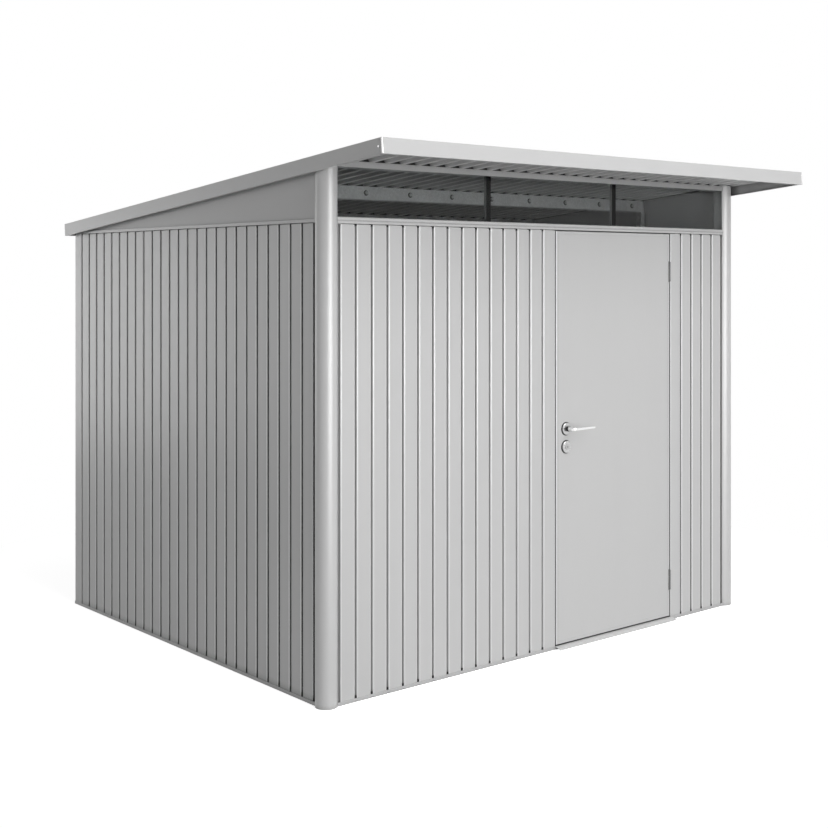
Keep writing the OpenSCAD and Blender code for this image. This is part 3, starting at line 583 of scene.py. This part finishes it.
def base_seal_painted_shade(shape):
    """A sealing strip behind the outer face of the front base rail, seen in its drains, whose black
    paints the shade inside them.
    """
    for x0, x1 in ((-RUN_X, OPEN_X0), (OPEN_X1, RUN_X)):
        add_box(shape, (x0, FRONT_Y + ROOM, RAIL_T), (x1, FRONT_Y + SEAL_W, BASE_H - RAIL_T - ROOM))


def fascia_screws(shape):
    """One flat head near the front end of each side fascia."""
    for side in (-1, 1):
        at = ROOF @ Vector((side * ROOF_X, FASCIA_SCREW_AT, FASCIA_SCREW_Z))
        add_head(shape, at, (side, 0, 0), *FASCIA_HEAD)


def anchor_bolts(shape):
    for x in (-ANCHOR_X, ANCHOR_X):
        for y in (FRONT_Y + ANCHOR_D, REAR_Y - ANCHOR_D):
            add_bolt(shape, (x, y, RAIL_T), (0, 0, 1), *ANCHOR_BOLT)


def door_seals(shape):
    """Rubber strips on the faces of the stops, clear of the closed leaf."""
    face = FRONT_Y + FRAME_D
    for x in (OPEN_X0 + SEAL_IN, OPEN_X1 - SEAL_IN - SEAL_W):
        add_box(shape, (x, face - SEAL_T, BASE_H + ROOM), (x + SEAL_W, face, SEAL_TOP))
    add_box(shape, (OPEN_X0 + SEAL_IN, face - SEAL_T, SEAL_TOP),
            (OPEN_X1 - SEAL_IN, face, SEAL_TOP + SEAL_W))


def threshold_seal_painted_shade(shape):
    """A thin rubber strip on the sill under the closed leaf, whose black paints the shade in the
    gap below the leaf.
    """
    add_box(shape, (OPEN_X0 + ROOM, FRONT_Y + THRESHOLD_IN, BASE_H),
            (OPEN_X1 - ROOM, FRONT_Y + THRESHOLD_IN + THRESHOLD_W, BASE_H + THRESHOLD_T))


def fascia_beads_painted_highlight(shape):
    """A thin rolled bead along both front corners of the fascia, in a bright metal that paints the
    corner's highlight.
    """
    low, high = FASCIA_BEAD
    for side in (-1, 1):
        foot = ROOF @ Vector((side * (ROOF_X - BEAD_IN), FASCIA_FRONT + BEAD_IN, low))
        add_disc(shape, foot, ROOF_UP, BEAD_R, high - low)


def latch(shape):
    """Face plate on the leaf's closing edge, with the latch and the bolt standing out of it."""
    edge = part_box("door_leaf")[0].x
    middle = FRONT_Y + LEAF_MID
    for reach, half, foot, top in LATCH_BLOCKS:
        add_box(shape, (edge - reach, middle - half, foot), (edge, middle + half, top))


def rose_gaskets_painted_reflection(shape):
    """A rubber ring round each rose and each plate of the lock, on both faces of the leaf, whose
    black paints the dark reflection on their rims.
    """
    low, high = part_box("door_leaf")[0].y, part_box("door_back")[1].y
    for z in (LEVER_Z, LOCK_Z):
        for y, out in ((low, -1), (high, 1)):
            add_ring(shape, (LEVER_X, y, z), (0, out, 0),
                     ROSE_R + ROOM, ROSE_R + GASKET_W, GASKET_T)


def lever_bushes_painted_shade(shape):
    """A dark bush round the lever's neck on each rose, whose colour paints the shade at the neck's
    root.
    """
    low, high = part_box("handle_roses")[0].y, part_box("handle_roses")[1].y
    for y, out in ((low, -1), (high, 1)):
        add_ring(shape, (LEVER_X, y, LEVER_Z), (0, out, 0), NECK_R + ROOM, NECK_R + BUSH_W, BUSH_H)


def strike_plate(shape):
    """A plate on the jamb with a hole for the latch and one for the bolt."""
    middle, face = FRONT_Y + LEAF_MID, OPEN_X0 + STRIKE_T
    for z0, z1 in STRIKE_BARS:
        add_box(shape, (OPEN_X0, middle - STRIKE_HALF_D, z0), (face, middle + STRIKE_HALF_D, z1))
    for side in (-1, 1):
        y0, y1 = sorted((middle + side * STRIKE_HALF_D, middle + side * STRIKE_HOLE_HALF_D))
        for z0, z1 in STRIKE_HOLES:
            add_box(shape, (OPEN_X0, y0, z0), (face, y1, z1))


def hinge_screws(shape):
    """Three flat heads on each hinge's plate at the jamb."""
    for z in HINGES_Z:
        for dz in (-HINGE_SCREW_STEP, 0.0, HINGE_SCREW_STEP):
            at = (OPEN_X1 - HINGE_PLATE, FRONT_Y + HINGE_SCREW_D, z + dz)
            add_head(shape, at, (-1, 0, 0), *HINGE_HEAD)


add_piece("rib_fillers_front", rib_fillers(FILLER_IN, HEADER_W - FILLER_IN), "foam_dark")
# Black foam in the ribs over the purlins: its colour paints the shade in the ribs there
for name, along in zip(("rib_fillers_purlin_front_painted_shade", "rib_fillers_purlin_rear_painted_shade"), PURLINS):
    add_piece(name, rib_fillers(along + FILLER_IN, along + PURLIN_W - FILLER_IN), "foam_dark")
add_piece("rib_fillers_rear", rib_fillers(REAR_AT - REAR_FLANGE, REAR_AT - FILLER_IN), "foam_dark")
add_piece("roof_screws", roof_screws, "screw_zinc")
add_piece("purlin_washers", purlin_washers, "rubber_black")
add_piece("purlin_bolts", purlin_bolts, "screw_zinc")
for wall, half_run, top in (("front", RUN_X, WALL_H), ("rear", RUN_X, SIDE_H),
                            ("left", RUN_Y, SIDE_H), ("right", RUN_Y, SIDE_H)):
    add_piece("groove_plugs_painted_shade_" + wall, groove_plugs_painted_shade(wall, half_run, top), "rubber_black")
add_piece("base_seal_painted_shade", base_seal_painted_shade, "foam_dark")
add_piece("fascia_screws", fascia_screws, "bright_metal_and_painted_highlight")
add_piece("anchor_bolts", anchor_bolts, "screw_zinc")
add_piece("door_seals", door_seals, "rubber_black")
add_piece("threshold_seal_painted_shade", threshold_seal_painted_shade, "rubber_black")
add_piece("fascia_beads_painted_highlight", fascia_beads_painted_highlight, "bright_metal_and_painted_highlight")
add_piece("latch", latch, "lock_metal", "door")
add_piece("rose_gaskets_painted_reflection", rose_gaskets_painted_reflection, "rubber_black", "door")
add_piece("lever_bushes_painted_shade", lever_bushes_painted_shade, "rubber_black", "door")
add_piece("strike_plate", strike_plate, "lock_metal")
add_piece("hinge_screws", hinge_screws, "screw_zinc")


# Floor, light and camera
def either(tree, a, b):
    return combine(tree, "MAXIMUM", a, b)


def mirrored(tree, path):
    """1 for rays that mirror or pass the background straight to the camera, else 0."""
    straight = tree.nodes.new("ShaderNodeMath")
    straight.operation = "LESS_THAN"
    straight.inputs[1].default_value = MATT_DEPTH
    tree.links.new(path.outputs["Diffuse Depth"], straight.inputs[0])
    bent = either(tree, path.outputs["Is Glossy Ray"], path.outputs["Is Transmission Ray"])
    return times(tree, bent, straight.outputs["Value"])


def mix_shader(tree, fac, first, second):
    node = tree.nodes.new("ShaderNodeMixShader")
    tree.links.new(fac, node.inputs["Fac"])
    tree.links.new(first, node.inputs[1])
    tree.links.new(second, node.inputs[2])
    return node.outputs["Shader"]


def add_floor():
    """Pale floor: white where it is seen or mirrored, with the shadow at the shed's foot."""
    bpy.ops.mesh.primitive_plane_add(size=FLOOR_SIZE)
    floor = bpy.context.object
    floor.name = "floor"
    material, tree, shader = new_material("floor")
    tree.nodes.remove(shader)
    path = tree.nodes.new("ShaderNodeLightPath")
    plain_side = add_node(tree, "ShaderNodeBsdfDiffuse", Color=(*grey(FLOOR_PLAIN), 1.0))
    seen_side = add_node(tree, "ShaderNodeBsdfDiffuse", Color=(*grey(FLOOR_SEEN), 1.0))
    white = add_node(tree, "ShaderNodeEmission", Strength=1.0)
    first = mix_shader(tree, mirrored(tree, path),
                       plain_side.outputs["BSDF"], white.outputs["Emission"])
    place = tree.nodes.new("ShaderNodeTexCoord")
    away = tree.nodes.new("ShaderNodeVectorMath")
    away.operation = "LENGTH"
    tree.links.new(place.outputs["Object"], away.inputs[0])
    fade = add_node(tree, "ShaderNodeMapRange", From_Min=FADE_FROM, From_Max=FADE_TO,
                    To_Min=FADE_LEAST)
    tree.links.new(away.outputs["Value"], fade.inputs["Value"])
    seen = mix_shader(tree, fade.outputs["Result"],
                      seen_side.outputs["BSDF"], white.outputs["Emission"])
    last = mix_shader(tree, path.outputs["Is Camera Ray"], first, seen)
    tree.links.new(last, tree.nodes["Material Output"].inputs["Surface"])
    floor.data.materials.append(material)


def add_area(name, at, target, size, power):
    lamp = bpy.data.lights.new(name, "AREA")
    lamp.shape = "RECTANGLE"
    lamp.size, lamp.size_y = size
    lamp.energy = power
    item = bpy.data.objects.new(name, lamp)
    item.location = at
    item.rotation_euler = (Vector(target) - Vector(at)).to_track_quat("-Z", "Y").to_euler()
    scene.collection.objects.link(item)


def add_world(strength):
    world = bpy.data.worlds.new("studio")
    scene.world = world
    world.use_nodes = True
    tree = world.node_tree
    back = tree.nodes["Background"]
    back.inputs["Color"].default_value = (1.0, 1.0, 1.0, 1.0)
    path = tree.nodes.new("ShaderNodeLightPath")
    seen = either(tree, path.outputs["Is Camera Ray"], mirrored(tree, path))
    level = add_node(tree, "ShaderNodeMapRange", To_Min=strength, To_Max=1.0)
    tree.links.new(seen, level.inputs["Value"])
    tree.links.new(level.outputs["Result"], back.inputs["Strength"])


def add_camera():
    data = bpy.data.cameras.new("camera")
    data.sensor_width = SENSOR_MM
    data.lens = FOCAL_PX * SENSOR_MM / PHOTO_PX
    data.shift_y = -(PHOTO_PX / 2 - HORIZON_PX) / PHOTO_PX
    item = bpy.data.objects.new("camera", data)
    item.location = CAMERA_AT
    item.rotation_euler = (math.radians(90), 0.0, math.radians(-CAMERA_TURN))
    scene.collection.objects.link(item)
    scene.camera = item


add_floor()
add_world(WORLD_LIGHT)
for lamp in LAMPS:
    add_area(*lamp)
add_camera()
